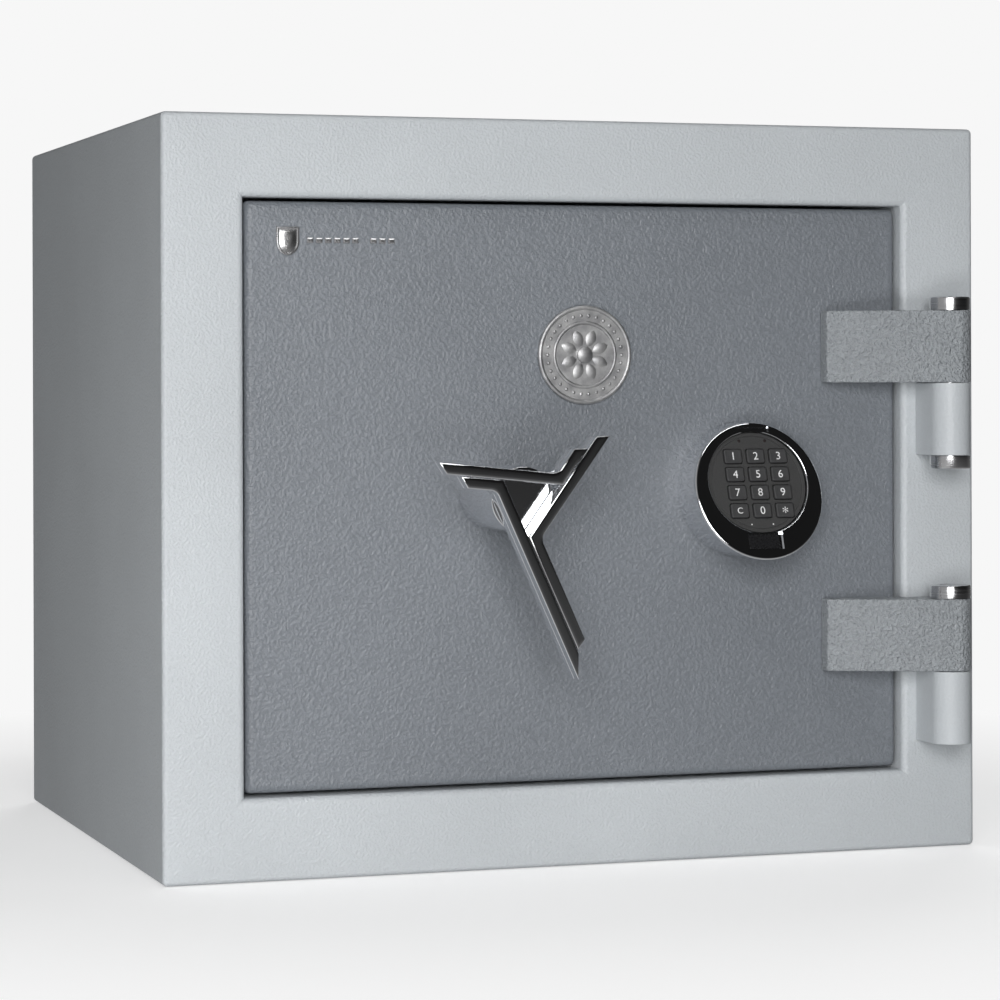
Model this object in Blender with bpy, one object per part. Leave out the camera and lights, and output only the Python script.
"""Compact burglary-resistant safe: steel body, hinged door, three-armed handle, boltwork and keypad lock.

Frame: origin at the middle of the base, +Z up, the door faces -Y and hangs on its right side (+X).
Depths named *_DEPTH or passed to depth() are measured inwards from the plane of the front frame.
Every moving piece has its origin on the axis of its joint.
"""

import math

import bmesh
import bpy
from mathutils import Matrix, Vector

# Body
WIDTH = 0.520
DEPTH = 0.410
HEIGHT = 0.450
FRONT = -DEPTH / 2
BACK = DEPTH / 2
GAP = 0.0003  # left between pieces that touch
SHEET = 0.003
FRAME_THICK = 0.005
OPENING_INSET = 0.049  # from the outside of the body to the wall of the door opening
OPENING_BEND = 0.004
OUTER_ROUND = 0.003
CASING_ROUND = 0.0015
FLANGE_THICK = 0.004
FLANGE_DEPTH = 0.056
LINER_INSET = 0.0465
LINER_SHEET = 0.002
LINER_DEPTH = 0.3643
KEEPER_FRONT = 0.0568
KEEPER_BACK = 0.0932
KEEPER_LOW = 0.060
KEEPER_HIGH = 0.390
KEEPER_REACH_LEFT = 0.0162
KEEPER_REACH_RIGHT = 0.0182
ANCHOR_Y = 0.080
ANCHOR_Z = 0.315
ANCHOR_RADIUS = 0.0070
SHELF_Z = 0.220
SHELF_FRONT = 0.112
SHELF_BACK = 0.352
LEDGE_REACH = 0.014
LEDGE_HEIGHT = 0.005

# Door
DOOR_GAP = 0.002
DOOR_FACE = 0.006
DOOR_PLATE = 0.008
DOOR_EDGE_RADIUS = 0.0045
PAN_LEFT = 0.058  # from the left side of the body, so that the corner clears the frame as it swings
PAN_RIGHT = 0.466
PAN_INSET_Z = 0.054
PAN_BACK = 0.056
PAN_SHEET = 0.0025
COVER_LEFT = 0.0665
COVER_RIGHT = 0.462
COVER_INSET_Z = 0.060
COVER_FRONT = 0.090
COVER_SHEET = 0.0015
WORK_FRONT = 0.057  # the parts on the back of the door pan start here
WORK_BACK = 0.0897

# Hinges
HINGE_X = 0.2325
HINGE_Y = FRONT - 0.023
HINGE_RADIUS = 0.0125
PIN_RADIUS = 0.007
ARM_HEIGHT = 0.0445
ARM_ROUND = 0.013
ARM_LEFT = 0.158
ARM_PROUD = 0.004
ARM_FRAME_GAP = 0.0015
ARM_CREASE = 276  # degrees about the pin, where the arm's flat face meets its round end
ARM_HEEL = 0.0065  # from the pin's axis to the corner behind the round end
UPPER_ARM_BASE = 0.291
LOWER_ARM_BASE = 0.1127
KNUCKLE_HEIGHT = 0.0448
KNUCKLE_DROP = 0.0451  # from the underside of an arm to the underside of its knuckle
PIN_HEAD = 0.008

# Handle and boltwork
SPINDLE_X = 0.202 - WIDTH / 2
SPINDLE_Z = 0.2235
SPINDLE_RADIUS = 0.006
HUB_RADIUS = 0.0195
HUB_FRONT = -0.056
BLADE_FRONT = -0.072
BLADE_INNER = 0.0105  # distance from the axis to the joint between the two bars of an arm
BLADE_WIDTH = 0.0068
BLADE_ARMS = (math.radians(174.3), math.radians(54.3), math.radians(294.3))
BLADE_FILLET = 0.006
CAM_RADIUS = 0.028
CAM_START = math.radians(30)
CAM_PIN_RADIUS = 0.003
DRIVE_FRONT = 0.060
DRIVE_THICK = 0.004
BOLT_DEPTH = 0.074
BOLT_RADIUS = 0.011
BOLT_HEIGHTS = (0.110, 0.225, 0.340)
BOLT_TIP = 0.0645
BOLT_BAR_LEFT = 0.102
BOLT_BAR_RIGHT = 0.110
DOG_TIP = 0.4845
DOG_RADIUS = 0.010
DOG_BAR_LEFT = 0.456
GUIDE_LEFT = 0.068
GUIDE_THICK = 0.004
GUIDE_LOW = 0.080
GUIDE_HIGH = 0.370

# Lock and keypad
LOCK_BOLT_X = 0.356
LOCK_LEFT = 0.334
LOCK_RIGHT = 0.394
LOCK_LOW = 0.184
LOCK_HIGH = 0.269
LOCK_BACK = 0.0875
LOCK_COVER = 0.0016
CABLE_HOLE_UP = 0.0103  # from the keypad's axis to the hole for the cable
CABLE_HOLE_RADIUS = 0.0040
CABLE_RADIUS = 0.0016
KEYPAD_X = 0.364 - WIDTH / 2
KEYPAD_Z = 0.2257
KEYPAD_RADIUS = 0.0415
KEYPAD_STAND = 0.031
KEYPAD_WALL = 0.003
KEYPAD_TILT = math.radians(18.7)
KEYPAD_STEPS = 40
PANEL_RADIUS = 0.0318
PANEL_SHIFT = 0.0052
PANEL_SUNK = 0.0022
PANEL_THICK = 0.003
KEY_SIZE = (0.0115, 0.0087, 0.0055)
KEY_PITCH = (0.0148, 0.0115)
KEY_SHIFT = 0.0009  # of all keys to the right
KEY_PROUD = 0.0012
KEY_NAMES = (
    ("key_1", "key_2", "key_3"),
    ("key_4", "key_5", "key_6"),
    ("key_7", "key_8", "key_9"),
    ("key_clear", "key_0", "key_star"),
)
BADGE_X = 0.262 - WIDTH / 2
BADGE_Z = 0.3083
CONTACT_SIZE = (0.0222, 0.0091, 0.0022)
CONTACT_PLACE = (0, -0.03185, -0.0018)
CONTACT_PLAY = 0.0004

# name: (colour, roughness, metallic)
MATERIALS = {
    "frame_paint": ((0.56, 0.58, 0.59), 0.45, 0.1),
    "casing_paint": ((0.42, 0.43, 0.44), 0.45, 0.1),
    "door_paint": ((0.22, 0.24, 0.26), 0.45, 0.1),
    "chrome": ((0.80, 0.80, 0.81), 0.08, 1.0),
    "bare_steel": ((0.52, 0.52, 0.53), 0.35, 1.0),
    "zinc_steel": ((0.60, 0.60, 0.57), 0.40, 1.0),
    "liner_paint": ((0.46, 0.47, 0.48), 0.55, 0.0),
    "infill": ((0.36, 0.35, 0.33), 0.95, 0.0),
    "pewter": ((0.40, 0.40, 0.39), 0.35, 1.0),
    "bronze": ((0.55, 0.38, 0.20), 0.40, 1.0),
    "keypad_black": ((0.02, 0.02, 0.02), 0.35, 0.0),
    "key_rubber": ((0.045, 0.045, 0.05), 0.60, 0.0),
    "board_green": ((0.03, 0.16, 0.07), 0.50, 0.0),
    "plug_plastic": ((0.12, 0.12, 0.12), 0.60, 0.0),
    "cable_black": ((0.02, 0.02, 0.02), 0.50, 0.0),
}

SPINDLE = Vector((SPINDLE_X, FRONT, SPINDLE_Z))
KEYPAD = Vector((KEYPAD_X, FRONT + DOOR_FACE - KEYPAD_STAND, KEYPAD_Z))
KEYPAD_OUT = Vector((0, -math.cos(KEYPAD_TILT), math.sin(KEYPAD_TILT)))
KEYPAD_UP = Vector((0, math.sin(KEYPAD_TILT), math.cos(KEYPAD_TILT)))

# body: (parent body, a point on the axis of its joint)
PIVOTS = {
    "body": (None, Vector((0, 0, 0))),
    "door": ("body", Vector((HINGE_X, HINGE_Y, 0))),
    "handle": ("door", SPINDLE),
    "boltwork": ("door", Vector((0.106 - WIDTH / 2, FRONT + BOLT_DEPTH, SPINDLE_Z))),
    "lock_bolt": ("door", Vector((LOCK_BOLT_X - WIDTH / 2, FRONT + 0.064, 0.202))),
}


def depth(value):
    """The Y of a depth behind the plane of the front frame."""
    return FRONT + value


def from_left(value):
    """The X of a distance from the left side of the body."""
    return value - WIDTH / 2


# Modelling tools


def clear_scene():
    for obj in list(bpy.data.objects):
        bpy.data.objects.remove(obj, do_unlink=True)


def make_materials():
    made = {}
    for name, (colour, roughness, metallic) in MATERIALS.items():
        material = bpy.data.materials.new(name)
        material.use_nodes = True
        shader = material.node_tree.nodes["Principled BSDF"]
        shader.inputs["Base Color"].default_value = (*colour, 1)
        shader.inputs["Roughness"].default_value = roughness
        shader.inputs["Metallic"].default_value = metallic
        made[name] = material
    return made


def make_pivots():
    """One empty for each body that moves, on the axis of its joint."""
    empties = {}
    for body, (parent, point) in PIVOTS.items():
        empty = bpy.data.objects.new(f"{body}_pivot", None)
        bpy.context.collection.objects.link(empty)
        empty.parent = empties.get(parent)
        base = PIVOTS[parent][1] if parent else Vector((0, 0, 0))
        empty.location = point - base
        empties[body] = empty
    return empties


def finish(name, bm, material, body):
    """Turns a bmesh in world coordinates into an object on its body's pivot."""
    bmesh.ops.recalc_face_normals(bm, faces=bm.faces)
    bmesh.ops.translate(bm, verts=bm.verts, vec=-PIVOTS[body][1])
    mesh = bpy.data.meshes.new(name)
    bm.to_mesh(mesh)
    bm.free()
    mesh.materials.append(SHADERS[material])
    mesh.shade_smooth()
    mesh.set_sharp_from_angle(angle=math.radians(35))
    obj = bpy.data.objects.new(name, mesh)
    bpy.context.collection.objects.link(obj)
    obj.parent = EMPTIES[body]
    return obj


def add_box(bm, low, high):
    low = Vector(low)
    high = Vector(high)
    scale = Matrix.Diagonal((*(high - low), 1))
    bmesh.ops.create_cube(bm, size=1, matrix=Matrix.Translation((low + high) / 2) @ scale)


def add_prism(bm, outline, low, high, axis="Y"):
    """Extrudes an outline of two coordinates along the axis that it leaves out."""
    order = {"Y": lambda a, b, t: (a, t, b), "Z": lambda a, b, t: (a, b, t), "X": lambda a, b, t: (t, a, b)}
    point = order[axis]
    near = [bm.verts.new(point(a, b, low)) for a, b in outline]
    far = [bm.verts.new(point(a, b, high)) for a, b in outline]
    bm.faces.new(near)
    bm.faces.new(far)
    for i in range(len(outline)):
        j = (i + 1) % len(outline)
        bm.faces.new((near[i], near[j], far[j], far[i]))


def add_lathe(bm, profile, centre, axis, segments=24):
    """Turns a profile of (radius, distance along the axis), closed through the axis or on itself."""
    turn = Vector(axis).to_track_quat("Z", "Y").to_matrix()
    centre = Vector(centre)
    rings = []
    for radius, along in profile:
        count = segments if radius > 1e-6 else 1
        ring = []
        for k in range(count):
            angle = 2 * math.pi * k / segments
            local = Vector((radius * math.cos(angle), radius * math.sin(angle), along))
            ring.append(bm.verts.new(centre + turn @ local))
        rings.append(ring)
    for first, second in zip(rings, rings[1:] + rings[:1]):
        if len(first) == 1 and len(second) == 1:
            continue
        for k in range(segments):
            n = (k + 1) % segments
            corners = [first[k % len(first)], first[n % len(first)]]
            corners += [second[n % len(second)], second[k % len(second)]]
            bm.faces.new(list(dict.fromkeys(corners)))


def add_rod(bm, start, axis, radius, length, chamfer=0.0, segments=24):
    """A round bar from start along the axis, with a chamfer at both ends."""
    if chamfer:
        profile = [(0, 0), (radius - chamfer, 0), (radius, chamfer), (radius, length - chamfer)]
        profile += [(radius - chamfer, length), (0, length)]
    else:
        profile = [(0, 0), (radius, 0), (radius, length), (0, length)]
    add_lathe(bm, profile, start, axis, segments)


def add_tube(bm, start, axis, inner, outer, length, segments=24):
    add_lathe(bm, [(inner, 0), (outer, 0), (outer, length), (inner, length)], start, axis, segments)


def add_rings(bm, rings, cap=False):
    """Joins rings of points in order. The last one joins the first, unless both get a cap."""
    made = [[bm.verts.new(point) for point in ring] for ring in rings]
    pairs = zip(made, made[1:]) if cap else zip(made, made[1:] + made[:1])
    for first, second in pairs:
        for i in range(len(first)):
            j = (i + 1) % len(first)
            bm.faces.new((first[i], first[j], second[j], second[i]))
    if cap:
        bm.faces.new(made[0])
        bm.faces.new(made[-1])


def arc(centre, radius, start, stop, steps):
    """Points of an arc, both ends included, angles in degrees."""
    points = []
    for k in range(steps + 1):
        angle = math.radians(start + (stop - start) * k / steps)
        points.append((centre[0] + radius * math.cos(angle), centre[1] + radius * math.sin(angle)))
    return points


def join(obj, name, shape):
    """Welds a closed shape to obj, which it has to overlap."""
    cut(obj, name, shape, "UNION")


def cut(obj, name, shape, operation="DIFFERENCE"):
    """Cuts obj with a closed shape that the function shape draws in world coordinates."""
    bm = bmesh.new()
    shape(bm)
    bmesh.ops.recalc_face_normals(bm, faces=bm.faces)
    mesh = bpy.data.meshes.new(name)
    bm.to_mesh(mesh)
    bm.free()
    cutter = bpy.data.objects.new(name, mesh)
    bpy.context.collection.objects.link(cutter)
    cutter.hide_render = True
    cutter.display_type = "WIRE"
    modifier = obj.modifiers.new(name, "BOOLEAN")
    modifier.operation = operation
    modifier.solver = "EXACT"
    modifier.object = cutter


def bevel(obj, width, segments=2):
    modifier = obj.modifiers.new("edge_round", "BEVEL")
    modifier.width = width
    modifier.segments = segments
    modifier.limit_method = "ANGLE"
    modifier.angle_limit = math.radians(40)


# Body


def inset_corners(inset, y):
    """The four corners of a rectangle inset from the outside of the body."""
    x = WIDTH / 2 - inset
    top = HEIGHT - inset
    return [(-x, y, inset), (x, y, inset), (x, y, top), (-x, y, top)]


def front_frame():
    bend = arc((OPENING_INSET - OPENING_BEND, OPENING_BEND), OPENING_BEND, -90, 0, 4)
    outer = arc((OUTER_ROUND, OUTER_ROUND), OUTER_ROUND, 180, 270, 3)
    profile = [*outer, *bend, (OPENING_INSET, FLANGE_DEPTH)]
    profile += [(OPENING_INSET - FLANGE_THICK, FLANGE_DEPTH), (OPENING_INSET - FLANGE_THICK, FRAME_THICK)]
    profile += [(0, FRAME_THICK)]
    bm = bmesh.new()
    corners = [inset_corners(inset, depth(back)) for inset, back in profile]
    add_rings(bm, corners)
    return finish("front_frame", bm, "frame_paint", "body")


def casing():
    """Left side, top and right side in one bent sheet, with the base and back panels inside its edges."""
    x = WIDTH / 2
    inner = x - SHEET
    outline = [(-x, 0), (-x, HEIGHT - CASING_ROUND), (-x + CASING_ROUND, HEIGHT), (x - CASING_ROUND, HEIGHT)]
    outline += [(x, HEIGHT - CASING_ROUND), (x, 0), (inner, 0), (inner, HEIGHT - SHEET)]
    outline += [(-inner, HEIGHT - SHEET), (-inner, 0)]
    start = depth(FRAME_THICK + GAP)
    bm = bmesh.new()
    add_prism(bm, outline, start, BACK)
    finish("outer_casing", bm, "casing_paint", "body")
    bm = bmesh.new()
    add_box(bm, (-inner + GAP, start, 0), (inner - GAP, BACK, SHEET))
    base = finish("base_panel", bm, "casing_paint", "body")
    bm = bmesh.new()
    low = (-inner + GAP, BACK - SHEET, SHEET + GAP)
    add_box(bm, low, (inner - GAP, BACK, HEIGHT - SHEET - GAP))
    back = finish("back_panel", bm, "casing_paint", "body")
    return base, back


def body_infill():
    inner = WIDTH / 2 - SHEET - GAP
    bm = bmesh.new()
    low = (-inner, depth(FRAME_THICK + GAP), SHEET + GAP)
    add_box(bm, low, (inner, BACK - SHEET - GAP, HEIGHT - SHEET - GAP))
    obj = finish("body_infill", bm, "infill", "body")
    flange = OPENING_INSET - FLANGE_THICK - GAP
    pocket = LINER_INSET - GAP
    cut(obj, "flange_pocket", lambda bm: inset_box(bm, flange, 0, FLANGE_DEPTH + GAP))
    cut(obj, "liner_pocket", lambda bm: inset_box(bm, pocket, 0.02, LINER_DEPTH + GAP))
    for side in (-1, 1):
        cut(obj, f"keeper_pocket_{side}", lambda bm, s=side: keeper_box(bm, s, GAP, True))
    return obj


def inset_box(bm, inset, front, back):
    low = (-WIDTH / 2 + inset, depth(front), inset)
    add_box(bm, low, (WIDTH / 2 - inset, depth(back), HEIGHT - inset))


def keeper_box(bm, side, grow, through=False):
    """The outside of a keeper box, behind the side wall of the liner. side is -1 on the left."""
    reach = KEEPER_REACH_LEFT if side < 0 else KEEPER_REACH_RIGHT
    near = WIDTH / 2 - LINER_INSET + GAP
    far = near + reach
    if through:
        near -= 0.005
    xs = sorted((side * near, side * (far + grow)))
    low = (xs[0], depth(KEEPER_FRONT - grow), KEEPER_LOW - grow)
    add_box(bm, low, (xs[1], depth(KEEPER_BACK + grow), KEEPER_HIGH + grow))


def keeper_mouth(bm, side):
    """The hollow of a keeper box, long enough to cut the liner's wall too."""
    reach = KEEPER_REACH_LEFT if side < 0 else KEEPER_REACH_RIGHT
    near = WIDTH / 2 - LINER_INSET - 0.005
    far = WIDTH / 2 - LINER_INSET + GAP + reach - SHEET
    xs = sorted((side * near, side * far))
    low = (xs[0], depth(KEEPER_FRONT) + SHEET, KEEPER_LOW + SHEET)
    add_box(bm, low, (xs[1], depth(KEEPER_BACK) - SHEET, KEEPER_HIGH - SHEET))


def inner_liner():
    bm = bmesh.new()
    inset_box(bm, LINER_INSET, FLANGE_DEPTH + GAP, LINER_DEPTH)
    obj = finish("inner_liner", bm, "liner_paint", "body")
    inside = LINER_INSET + LINER_SHEET
    cut(obj, "liner_hollow", lambda bm: inset_box(bm, inside, 0, LINER_DEPTH - LINER_SHEET))
    for side in (-1, 1):
        cut(obj, f"liner_window_{side}", lambda bm, s=side: keeper_mouth(bm, s))
        join(obj, f"shelf_ledge_{side}", lambda bm, s=side: shelf_ledge(bm, s))
    return obj


def shelf_ledge(bm, side):
    """A strip welded to the liner's side wall, under the edge of the shelf."""
    wall = WIDTH / 2 - LINER_INSET
    xs = sorted((side * (wall - 0.001), side * (wall - LEDGE_REACH)))
    low = (xs[0], depth(SHELF_FRONT + 0.008), SHELF_Z - GAP - LEDGE_HEIGHT)
    add_box(bm, low, (xs[1], depth(SHELF_BACK - 0.008), SHELF_Z - GAP))


def keepers():
    for side, name in ((-1, "keeper_left"), (1, "keeper_right")):
        bm = bmesh.new()
        keeper_box(bm, side, 0)
        obj = finish(name, bm, "zinc_steel", "body")
        cut(obj, f"{name}_mouth", lambda bm, s=side: keeper_mouth(bm, s))


def anchor(place, start, along, wall, layers):
    """Drills one anchor hole through every layer of a wall, from outside, and fills it with a plug."""
    for obj in layers:
        cut(
            obj,
            f"anchor_{place}_{obj.name}",
            lambda bm: add_rod(bm, start - along * 0.005, along, ANCHOR_RADIUS, wall + 0.010, 0, 16),
        )
    stem = ANCHOR_RADIUS - 0.0005
    cap = ANCHOR_RADIUS + 0.004
    head = wall + GAP
    top = head + 0.0018
    profile = [(0, 0.0005), (stem, 0.0005), (stem, head), (cap, head), (cap, top), (0, top)]
    bm = bmesh.new()
    add_lathe(bm, profile, start, along, 16)
    finish(f"anchor_plug_{place}", bm, "plug_plastic", "body")


def shelf():
    half = WIDTH / 2 - LINER_INSET - LINER_SHEET - 0.0012
    sheet = 0.002
    lip = 0.018
    outline = [
        (depth(SHELF_FRONT), SHELF_Z - lip),
        (depth(SHELF_FRONT), SHELF_Z + sheet),
        (depth(SHELF_BACK), SHELF_Z + sheet),
        (depth(SHELF_BACK), SHELF_Z),
        (depth(SHELF_FRONT) + sheet, SHELF_Z),
        (depth(SHELF_FRONT) + sheet, SHELF_Z - lip),
    ]
    bm = bmesh.new()
    add_prism(bm, outline, -half, half, "X")
    finish("shelf", bm, "liner_paint", "body")


# Hinges


def knuckle_outline():
    """Flat sides on the frame's face, with a half-round front about the pin."""
    side = HINGE_RADIUS
    back = FRONT - GAP
    return [(HINGE_X + side, back), (HINGE_X - side, back), *arc((HINGE_X, HINGE_Y), side, 180, 360, 14)]


def arm_outline():
    """A wedge on the door's face that runs out to a round end about the pin."""
    pin = Vector((HINGE_X, HINGE_Y))
    heel = Vector((HINGE_X - ARM_HEEL, FRONT - ARM_FRAME_GAP))
    back_lean = math.degrees(math.atan2(heel.y - pin.y, heel.x - pin.x))
    back_tangent = back_lean - math.degrees(math.acos(ARM_ROUND / (heel - pin).length))
    face = depth(DOOR_FACE) - GAP
    edge = WIDTH / 2 - OPENING_INSET - 0.0002
    outline = [(ARM_LEFT, face), (ARM_LEFT, FRONT - ARM_PROUD)]
    outline += arc((HINGE_X, HINGE_Y), ARM_ROUND, ARM_CREASE, back_tangent + 360, 14)
    outline += [tuple(heel), (edge, FRONT - ARM_FRAME_GAP), (edge, face)]
    return outline


def hinges():
    for name, base in (("upper", UPPER_ARM_BASE), ("lower", LOWER_ARM_BASE)):
        foot = base - KNUCKLE_DROP
        bm = bmesh.new()
        add_prism(bm, arm_outline(), base, base + ARM_HEIGHT, "Z")
        arm = finish(f"hinge_arm_{name}", bm, "door_paint", "door")
        bm = bmesh.new()
        add_prism(bm, knuckle_outline(), foot, foot + KNUCKLE_HEIGHT, "Z")
        knuckle = finish(f"hinge_knuckle_{name}", bm, "frame_paint", "body")
        bore_start = (HINGE_X, HINGE_Y, foot - 0.01)
        for obj in (arm, knuckle):
            bevel(obj, 0.0012)
            cut(
                obj,
                f"{obj.name}_bore",
                lambda bm, start=bore_start: add_rod(bm, start, (0, 0, 1), PIN_RADIUS + GAP, 0.12),
            )
        top = base + ARM_HEIGHT + GAP
        edge = 0.001
        profile = [(PIN_RADIUS, top), (HINGE_RADIUS, top), (HINGE_RADIUS, top + PIN_HEAD - edge)]
        profile += [(HINGE_RADIUS - edge, top + PIN_HEAD), (0, top + PIN_HEAD)]
        if name == "upper":
            end = foot - GAP - PIN_HEAD
            cap = [(0, end), (HINGE_RADIUS - edge, end), (HINGE_RADIUS, end + edge)]
            profile = [*cap, (HINGE_RADIUS, foot - GAP), (PIN_RADIUS, foot - GAP), *profile]
        else:
            profile = [(0, foot + GAP), (PIN_RADIUS, foot + GAP), *profile]
        bm = bmesh.new()
        add_lathe(bm, profile, (HINGE_X, HINGE_Y, 0), (0, 0, 1), 28)
        finish(f"hinge_pin_{name}", bm, "bare_steel", "body")


# Door


def door_rectangle(inset, y):
    side = OPENING_INSET + DOOR_GAP + inset
    return inset_corners(side, y)


def bush_hole(bm):
    add_rod(bm, (SPINDLE_X, depth(-0.01), SPINDLE_Z), (0, 1, 0), 0.0083, 0.09, 0, 20)


def cable_hole(bm):
    start = (KEYPAD_X, depth(-0.01), KEYPAD_Z + CABLE_HOLE_UP)
    add_rod(bm, start, (0, 1, 0), CABLE_HOLE_RADIUS, 0.09, 0, 12)


def door():
    bm = bmesh.new()
    edge = DOOR_EDGE_RADIUS
    rounding = arc((edge, edge), edge, 270, 180, 4)
    rings = [door_rectangle(inset, depth(DOOR_FACE + back)) for inset, back in rounding]
    rings.append(door_rectangle(0, depth(DOOR_FACE + DOOR_PLATE)))
    add_rings(bm, rings, cap=True)
    plate = finish("door_plate", bm, "door_paint", "door")
    low = Vector((from_left(PAN_LEFT), depth(DOOR_FACE + DOOR_PLATE + GAP), PAN_INSET_Z))
    high = Vector((from_left(PAN_RIGHT), depth(PAN_BACK), HEIGHT - PAN_INSET_Z))
    wall = Vector((PAN_SHEET, 0, PAN_SHEET))
    floor = Vector((0, PAN_SHEET, 0))
    bm = bmesh.new()
    add_box(bm, low, high)
    pan = finish("door_pan", bm, "liner_paint", "door")
    cut(pan, "pan_hollow", lambda bm: add_box(bm, low + wall - Vector((0, 0.01, 0)), high - wall - floor))
    play = Vector((GAP, 0, GAP))
    bm = bmesh.new()
    add_box(bm, low + wall + play, high - wall - floor - play - Vector((0, GAP, 0)))
    infill = finish("door_infill", bm, "infill", "door")
    for obj in (plate, pan, infill):
        cut(obj, f"{obj.name}_bush_hole", bush_hole)
        cut(obj, f"{obj.name}_cable_hole", cable_hole)


def badge():
    """A round medallion with a raised rim and a raised inner ring."""
    centre = (BADGE_X, depth(DOOR_FACE), BADGE_Z)
    profile = [(0, GAP), (0.0295, GAP), (0.030, 0.0008), (0.030, 0.0024), (0.029, 0.003), (0.0272, 0.003)]
    profile += [(0.0266, 0.0022), (0.0196, 0.0022), (0.019, 0.0028), (0.018, 0.0028)]
    profile += [(0.0174, 0.002), (0, 0.002)]
    bm = bmesh.new()
    add_lathe(bm, profile, centre, (0, -1, 0), 36)
    finish("badge", bm, "pewter", "door")


def front_emblem():
    """A small shield and a plain bar at the door's upper left corner."""
    x = from_left(0.077)
    z = 0.376
    corners = ((-0.008, 0.009), (0.008, 0.009), (0.008, -0.001), (0, -0.009), (-0.008, -0.001))
    shield = [(x + a, z + b) for a, b in corners]
    bm = bmesh.new()
    face = depth(DOOR_FACE)
    add_prism(bm, shield, face - 0.0013, face - GAP)
    finish("front_emblem", bm, "pewter", "door")
    bm = bmesh.new()
    add_box(bm, (from_left(0.0885), face - 0.0013, 0.3732), (from_left(0.144), face - GAP, 0.3788))
    finish("emblem_bar", bm, "pewter", "door")


def bolt_guide():
    bm = bmesh.new()
    low = (from_left(GUIDE_LEFT), depth(WORK_FRONT), GUIDE_LOW)
    add_box(bm, low, (from_left(GUIDE_LEFT + GUIDE_THICK), depth(WORK_BACK), GUIDE_HIGH))
    obj = finish("bolt_guide", bm, "zinc_steel", "door")
    for number, z in enumerate(BOLT_HEIGHTS):
        start = (from_left(GUIDE_LEFT - 0.005), depth(BOLT_DEPTH), z)
        bore = BOLT_RADIUS + 0.0004
        cut(obj, f"guide_bore_{number}", lambda bm, s=start: add_rod(bm, s, (1, 0, 0), bore, 0.02))


def dog_bolts():
    """Fixed bolts on the hinge side, welded to their bar."""
    bm = bmesh.new()
    low = (from_left(DOG_BAR_LEFT), depth(WORK_FRONT), GUIDE_LOW)
    add_box(bm, low, (from_left(DOG_BAR_LEFT + GUIDE_THICK), depth(WORK_BACK), GUIDE_HIGH))
    bar = finish("dog_bolt_bar", bm, "bare_steel", "door")
    start = DOG_BAR_LEFT + GUIDE_THICK / 2
    length = DOG_TIP - start
    for number, z in enumerate(BOLT_HEIGHTS):
        where = (from_left(start), depth(BOLT_DEPTH), z)
        join(
            bar,
            f"dog_bolt_{number}",
            lambda bm, foot=where: add_rod(bm, foot, (1, 0, 0), DOG_RADIUS, length, 0.002),
        )


def boltwork_cover():
    """A shallow channel over the boltwork."""
    low = COVER_INSET_Z
    high = HEIGHT - low
    near = depth(WORK_FRONT)
    face = depth(COVER_FRONT)
    back = face + COVER_SHEET
    t = COVER_SHEET
    outline = [(near, low), (back, low), (back, high), (near, high), (near, high - t), (face, high - t)]
    outline += [(face, low + t), (near, low + t)]
    bm = bmesh.new()
    add_prism(bm, outline, from_left(COVER_LEFT), from_left(COVER_RIGHT), "X")
    finish("boltwork_cover", bm, "liner_paint", "door")


def lock():
    """Case, cover, bolt and cable of the electronic lock."""
    low = (from_left(LOCK_LEFT), depth(WORK_FRONT), LOCK_LOW)
    high = (from_left(LOCK_RIGHT), depth(LOCK_BACK), LOCK_HIGH)
    bolt_low = (from_left(LOCK_BOLT_X - 0.005), depth(0.0595), 0.182)
    bolt_high = (from_left(LOCK_BOLT_X + 0.005), depth(0.069), 0.222)
    wall = Vector((0.003, 0.002, 0.003))
    play = Vector((0.0005, 0.0005, 0.0005))
    bm = bmesh.new()
    add_box(bm, low, high)
    case = finish("lock_case", bm, "zinc_steel", "door")
    inside = Vector(high) + Vector((0, 0.01, 0))
    cut(case, "lock_hollow", lambda bm: add_box(bm, Vector(low) + wall, inside - Vector((0.003, 0, 0.003))))
    slot_high = Vector(bolt_high) + play - Vector((0, 0, 0.030))
    cut(case, "lock_slot", lambda bm: add_box(bm, Vector(bolt_low) - play, slot_high))
    bm = bmesh.new()
    start = depth(LOCK_BACK) + GAP
    add_box(bm, (low[0], start, low[2]), (high[0], start + LOCK_COVER, high[2]))
    finish("lock_cover", bm, "zinc_steel", "door")
    bm = bmesh.new()
    add_box(bm, bolt_low, bolt_high)
    finish("lock_bolt", bm, "bare_steel", "lock_bolt")
    lock_cable()


def lock_cable():
    """From the circuit board through the door to the front of the lock case."""
    hole = Vector((KEYPAD_X, 0, KEYPAD_Z + CABLE_HOLE_UP))
    route = [(0.004, depth(-0.0100), 0), (0.0037, depth(-0.0068), 0), (0.0027, depth(-0.0035), 0)]
    route += [(0.0012, depth(-0.0005), 0), (0.0002, depth(0.003), 0), (0, depth(0.007), 0)]
    route += [(0, depth(0.030), 0), (0, depth(WORK_FRONT) - 0.0004, 0)]
    curve = bpy.data.curves.new("lock_cable", "CURVE")
    curve.dimensions = "3D"
    curve.bevel_depth = CABLE_RADIUS
    curve.bevel_resolution = 2
    curve.use_fill_caps = True
    line = curve.splines.new("POLY")
    line.points.add(len(route) - 1)
    pivot = PIVOTS["door"][1]
    for point, (x, y, z) in zip(line.points, route):
        point.co = (*(Vector((x, y, z)) + hole - pivot), 1)
    obj = bpy.data.objects.new("lock_cable", curve)
    obj.data.materials.append(SHADERS["cable_black"])
    bpy.context.collection.objects.link(obj)
    obj.parent = EMPTIES["door"]


# Keypad


def keypad_point(across, up, out):
    """World place of a point measured on the sloping face, from the middle of its front edge ring."""
    return KEYPAD + Vector((across, 0, 0)) + KEYPAD_UP * up + KEYPAD_OUT * out


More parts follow.
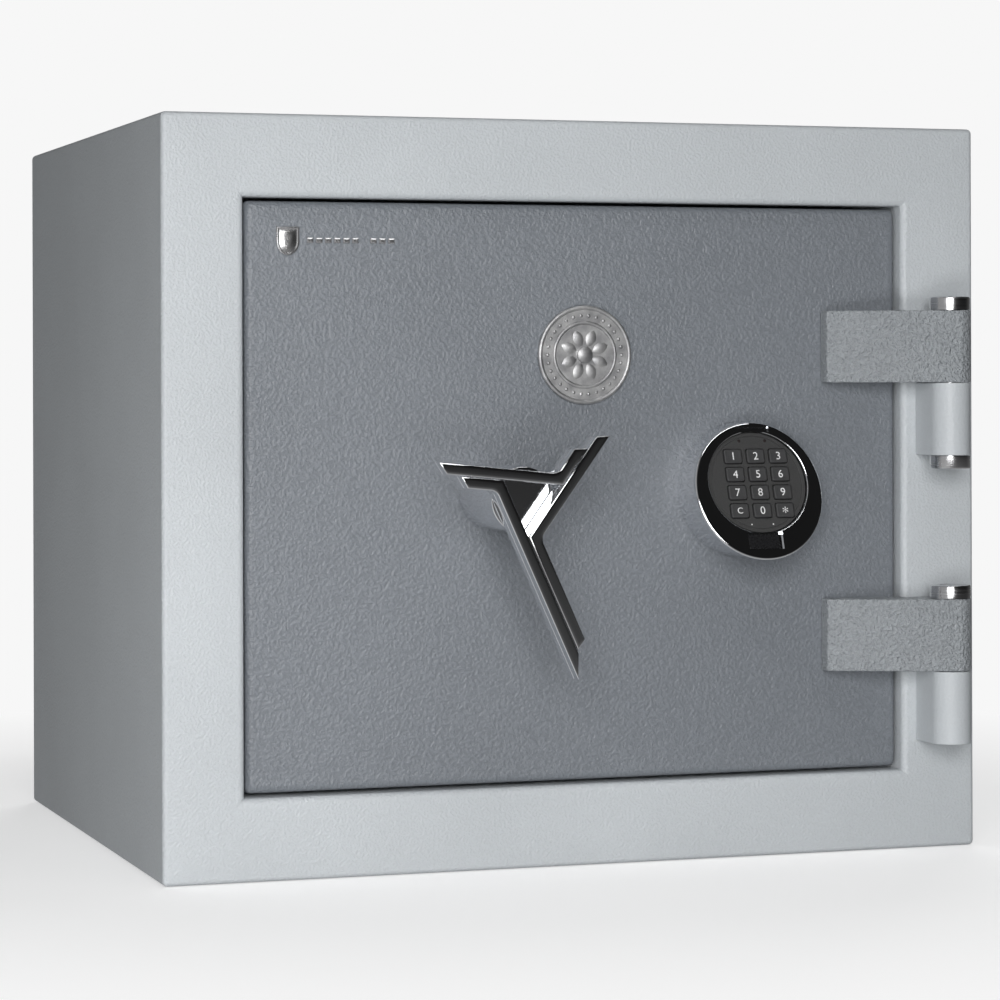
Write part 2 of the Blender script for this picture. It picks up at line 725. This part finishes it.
def face_ring(radius, shift, sunk, steps, squash=1.0):
    """A ring below the sloping front plane. squash is 1 for a ring that looks round from the front."""
    ring = []
    for k in range(steps):
        angle = 2 * math.pi * k / steps
        z = KEYPAD_Z + shift + radius * math.sin(angle) * squash
        y = KEYPAD.y + (z - KEYPAD_Z) * math.tan(KEYPAD_TILT) + sunk
        ring.append((KEYPAD_X + radius * math.cos(angle), y, z))
    return ring


def base_ring(radius, y, steps):
    ring = []
    for k in range(steps):
        angle = 2 * math.pi * k / steps
        ring.append((KEYPAD_X + radius * math.cos(angle), y, KEYPAD_Z + radius * math.sin(angle)))
    return ring


def keypad_housing():
    """An obliquely cut tube with a rounded shoulder and a bezel that slopes in to the panel."""
    steps = KEYPAD_STEPS
    flat = math.cos(KEYPAD_TILT)
    shift = PANEL_SHIFT * flat
    hole = PANEL_RADIUS + 0.0004
    foot = depth(DOOR_FACE) - GAP
    rings = [
        base_ring(KEYPAD_RADIUS, foot, steps),
        face_ring(KEYPAD_RADIUS, 0, 0.0035, steps),
        face_ring(KEYPAD_RADIUS - 0.0004, 0, 0.0015, steps),
        face_ring(KEYPAD_RADIUS - 0.0012, 0, 0.0004, steps),
        face_ring(KEYPAD_RADIUS - 0.0022, 0, 0, steps),
        face_ring(KEYPAD_RADIUS - 0.0032, 0, 0.0004, steps),
        face_ring(hole, shift, PANEL_SUNK, steps, flat),
        face_ring(hole, shift, PANEL_SUNK + 0.006, steps, flat),
        face_ring(KEYPAD_RADIUS - KEYPAD_WALL, 0, PANEL_SUNK + 0.0085, steps),
        base_ring(KEYPAD_RADIUS - KEYPAD_WALL, foot, steps),
    ]
    bm = bmesh.new()
    add_rings(bm, rings)
    obj = finish("keypad_housing", bm, "chrome", "door")
    low, high = contact_corners(CONTACT_PLAY)
    cut(obj, "contact_pocket", lambda bm: tilted_box(bm, low, (*high[:2], 0.004)))


def contact_corners(play):
    """Corners of the contact cover on the sloping face, with play all round."""
    low = [middle - size / 2 - play for middle, size in zip(CONTACT_PLACE, CONTACT_SIZE)]
    high = [middle + size / 2 + play for middle, size in zip(CONTACT_PLACE, CONTACT_SIZE)]
    return low, high


def tilted_box(bm, low, high):
    """A box whose sides follow the sloping face: across, up the slope, and out of it."""
    centre = [(a + b) / 2 for a, b in zip(low, high)]
    size = [b - a for a, b in zip(low, high)]
    turn = Matrix(((1, 0, 0), (0, KEYPAD_UP.y, KEYPAD_OUT.y), (0, KEYPAD_UP.z, KEYPAD_OUT.z))).to_4x4()
    place = Matrix.Translation(keypad_point(*centre)) @ turn @ Matrix.Diagonal((*size, 1))
    bmesh.ops.create_cube(bm, size=1, matrix=place)


def key_place(row, column):
    """Middle of a key on the sloping face."""
    across = (column - 1) * KEY_PITCH[0] + KEY_SHIFT
    up = PANEL_SHIFT + (1.5 - row) * KEY_PITCH[1]
    return across, up


def keypad_front():
    """Panel with its key holes, the twelve keys and the contact cover."""
    surface = -PANEL_SUNK * math.cos(KEYPAD_TILT)
    bm = bmesh.new()
    flat = math.cos(KEYPAD_TILT)
    shift = PANEL_SHIFT * flat
    edge = 0.0004
    rings = [
        face_ring(PANEL_RADIUS - edge, shift, PANEL_SUNK, KEYPAD_STEPS, flat),
        face_ring(PANEL_RADIUS, shift, PANEL_SUNK + edge, KEYPAD_STEPS, flat),
        face_ring(PANEL_RADIUS, shift, PANEL_SUNK + PANEL_THICK, KEYPAD_STEPS, flat),
    ]
    add_rings(bm, rings, cap=True)
    panel = finish("keypad_panel", bm, "keypad_black", "door")
    play = 0.0004
    half_x = KEY_SIZE[0] / 2
    half_z = KEY_SIZE[1] / 2
    for row, names in enumerate(KEY_NAMES):
        for column, name in enumerate(names):
            across, up = key_place(row, column)
            hole_low = (across - half_x - play, up - half_z - play, surface - 0.01)
            hole_high = (across + half_x + play, up + half_z + play, surface + 0.01)
            cut(panel, f"{name}_hole", lambda bm, a=hole_low, b=hole_high: tilted_box(bm, a, b))
            bm = bmesh.new()
            top = surface + KEY_PROUD
            key_low = (across - half_x, up - half_z, top - KEY_SIZE[2])
            tilted_box(bm, key_low, (across + half_x, up + half_z, top))
            bevel(finish(name, bm, "key_rubber", name), 0.0006, 1)
    bm = bmesh.new()
    tilted_box(bm, *contact_corners(0))
    finish("contact_cover", bm, "keypad_black", "door")


def keypad_inside():
    base_back = depth(DOOR_FACE) - GAP
    inner = KEYPAD_RADIUS - KEYPAD_WALL - 0.0005
    bm = bmesh.new()
    add_rod(bm, (KEYPAD_X, base_back, KEYPAD_Z), (0, -1, 0), inner, 0.0025, 0, 32)
    base = finish("keypad_base", bm, "zinc_steel", "door")
    cut(base, "base_cable_hole", cable_hole)
    bm = bmesh.new()
    low = (KEYPAD_X - 0.0235, depth(-0.0143), KEYPAD_Z - 0.0282)
    add_box(bm, low, (KEYPAD_X + 0.0235, depth(0.0025), KEYPAD_Z - 0.0112))
    finish("keypad_battery", bm, "keypad_black", "door")
    bm = bmesh.new()
    start = keypad_point(0, PANEL_SHIFT, -0.0093)
    add_rod(bm, start, KEYPAD_OUT, 0.0275, 0.0016, 0, 28)
    finish("keypad_board", bm, "board_green", "door")


# Handle and boltwork


def arm_point(arm, along, side):
    """A point on a handle arm: along it from the axis, and to its clockwise side."""
    angle = BLADE_ARMS[arm]
    x = along * math.cos(angle) + side * math.sin(angle)
    z = along * math.sin(angle) - side * math.cos(angle)
    return Vector((SPINDLE_X + x, SPINDLE_Z + z))


def meeting(first_arm, first_side, second_arm, second_side):
    """Where two lines parallel to two arms meet."""
    a = arm_point(first_arm, 0, first_side)
    b = arm_point(second_arm, 0, second_side)
    da = arm_point(first_arm, 1, first_side) - a
    db = arm_point(second_arm, 1, second_side) - b
    t = ((b.x - a.x) * db.y - (b.y - a.y) * db.x) / (da.x * db.y - da.y * db.x)
    return a + da * t


def fillet(corner, toward_a, toward_b, radius, steps=4):
    """Replaces a corner by an arc that touches both of its sides."""
    a = (toward_a - corner).normalized()
    b = (toward_b - corner).normalized()
    half = math.acos(max(-1, min(1, a.dot(b)))) / 2
    centre = corner + (a + b).normalized() * (radius / math.sin(half))
    start = corner + a * (radius / math.tan(half)) - centre
    stop = corner + b * (radius / math.tan(half)) - centre
    turn = start.angle_signed(stop)
    points = []
    for k in range(steps + 1):
        angle = -turn * k / steps
        points.append(centre + Matrix.Rotation(angle, 2) @ start)
    return points


def chevron(long_arm, short_arm, long_ends, short_ends):
    """One blade: a long leg on the outer side of one arm, bent to a short leg on the inner side of the next.

    The ends are given as (outer corner, inner corner) along the arm.
    """
    play = GAP / 2
    long_in = BLADE_INNER + play
    long_out = BLADE_INNER + BLADE_WIDTH
    short_in = BLADE_INNER - BLADE_WIDTH
    short_out = BLADE_INNER - play
    tip = arm_point(long_arm, long_ends[0], long_out)
    foot = arm_point(short_arm, short_ends[0], short_in)
    crook = meeting(long_arm, long_out, short_arm, short_in)
    outline = [arm_point(long_arm, long_ends[1], long_in), tip]
    outline += fillet(crook, tip, foot, BLADE_FILLET)
    outline += [foot, arm_point(short_arm, short_ends[1], short_out)]
    outline += [meeting(long_arm, long_in, short_arm, short_out)]
    return [tuple(point) for point in outline]


def handle():
    left, right, lever = 0, 1, 2
    short = (0.0395, 0.0445)
    long = (0.0585, 0.053)
    blades = {
        "handle_blade_top": chevron(left, right, long, short),
        "handle_blade_right": chevron(right, lever, long, (0.087, 0.091)),
        "handle_blade_lever": chevron(lever, left, (0.107, 0.093), short),
    }
    for name, outline in blades.items():
        bm = bmesh.new()
        add_prism(bm, outline, depth(BLADE_FRONT), depth(HUB_FRONT) - GAP)
        bevel(finish(name, bm, "chrome", "handle"), 0.0004, 1)
    bore = SPINDLE_RADIUS + GAP
    profile = [(0, HUB_FRONT), (HUB_RADIUS - 0.0012, HUB_FRONT), (HUB_RADIUS - 0.0003, HUB_FRONT + 0.0004)]
    profile += [(HUB_RADIUS, HUB_FRONT + 0.0012), (HUB_RADIUS, DOOR_FACE - 0.0005)]
    profile += [(bore, DOOR_FACE - 0.0005), (bore, -0.035), (0, -0.035)]
    bm = bmesh.new()
    add_lathe(bm, profile, SPINDLE, (0, 1, 0), 40)
    finish("handle_hub", bm, "chrome", "handle")
    bm = bmesh.new()
    add_rod(bm, SPINDLE + Vector((0, -0.0347, 0)), (0, 1, 0), SPINDLE_RADIUS, 0.1102, 0.0006, 24)
    finish("handle_spindle", bm, "bare_steel", "handle")
    bm = bmesh.new()
    add_tube(bm, SPINDLE + Vector((0, DOOR_FACE + GAP, 0)), (0, 1, 0), SPINDLE_RADIUS + GAP, 0.008, 0.052, 20)
    finish("spindle_bush", bm, "bronze", "door")


def cam():
    """The cam plate on the spindle, with the pin that drives the boltwork's slot."""
    pin = Vector((SPINDLE_X + CAM_RADIUS * math.sin(CAM_START), SPINDLE_Z - CAM_RADIUS * math.cos(CAM_START)))
    eye = (SPINDLE_X, SPINDLE_Z)
    toward = math.degrees(math.atan2(pin.y - eye[1], pin.x - eye[0]))
    outline = arc(eye, 0.014, toward + 80, toward + 280, 12)
    outline += arc(tuple(pin), 0.008, toward - 80, toward + 80, 8)
    near = depth(DRIVE_FRONT + DRIVE_THICK + 0.002)
    bm = bmesh.new()
    add_prism(bm, outline, near, near + 0.005)
    plate = finish("cam_plate", bm, "zinc_steel", "handle")
    bore = SPINDLE_RADIUS + GAP
    cut(plate, "cam_bore", lambda bm: add_rod(bm, (SPINDLE_X, near - 0.01, SPINDLE_Z), (0, 1, 0), bore, 0.03))
    foot = (pin.x, depth(DRIVE_FRONT - 0.0014), pin.y)
    length = near + 0.002 - foot[1]
    join(plate, "cam_pin", lambda bm: add_rod(bm, foot, (0, 1, 0), CAM_PIN_RADIUS, length, 0, 16))


def boltwork():
    bm = bmesh.new()
    low = (from_left(BOLT_BAR_LEFT), depth(0.059), 0.090)
    high = (from_left(BOLT_BAR_RIGHT), depth(0.0885), 0.360)
    add_box(bm, low, high)
    finish("bolt_bar", bm, "zinc_steel", "boltwork")
    for name, z in zip(("lower", "middle", "upper"), BOLT_HEIGHTS):
        bm = bmesh.new()
        start = (from_left(BOLT_TIP), depth(BOLT_DEPTH), z)
        add_rod(bm, start, (1, 0, 0), BOLT_RADIUS, BOLT_BAR_LEFT - GAP - BOLT_TIP, 0.002)
        finish(f"locking_bolt_{name}", bm, "bare_steel", "boltwork")
    left = BOLT_BAR_RIGHT + GAP
    outline = [(left, 0.184), (0.222, 0.184), (0.222, 0.150), (0.376, 0.150), (0.376, 0.180), (0.368, 0.180)]
    outline += [(0.368, 0.162), (0.236, 0.162), (0.236, 0.211), (left, 0.211)]
    near = depth(DRIVE_FRONT)
    bm = bmesh.new()
    add_prism(bm, [(from_left(x), z) for x, z in outline], near, near + DRIVE_THICK)
    plate = finish("drive_plate", bm, "zinc_steel", "boltwork")
    slot_x = SPINDLE_X + CAM_RADIUS * math.sin(CAM_START)
    half = CAM_PIN_RADIUS + 0.0008
    top = SPINDLE_Z - CAM_RADIUS * math.cos(CAM_START) + 0.001
    bottom = SPINDLE_Z - CAM_RADIUS - 0.001
    outline = arc((slot_x, top), half, 0, 180, 6) + arc((slot_x, bottom), half, 180, 360, 6)
    cut(plate, "cam_slot", lambda bm: add_prism(bm, outline, near - 0.005, near + 0.01))


def main():
    front_frame()
    base, back = casing()
    infill = body_infill()
    liner = inner_liner()
    under = Vector((0, ANCHOR_Y, 0))
    behind = Vector((0, BACK, ANCHOR_Z))
    anchor("base", under, Vector((0, 0, 1)), LINER_INSET + LINER_SHEET, (base, infill, liner))
    anchor("back", behind, Vector((0, -1, 0)), DEPTH - LINER_DEPTH + LINER_SHEET, (back, infill, liner))
    keepers()
    shelf()
    hinges()
    door()
    badge()
    front_emblem()
    bolt_guide()
    dog_bolts()
    boltwork_cover()
    lock()
    keypad_housing()
    keypad_front()
    keypad_inside()
    handle()
    cam()
    boltwork()


def key_pivots():
    """The same pairs as in PIVOTS for the twelve keys."""
    pivots = {}
    for row, names in enumerate(KEY_NAMES):
        for column, name in enumerate(names):
            pivots[name] = ("door", keypad_point(*key_place(row, column), 0))
    return pivots


clear_scene()
PIVOTS.update(key_pivots())
SHADERS = make_materials()
EMPTIES = make_pivots()
main()
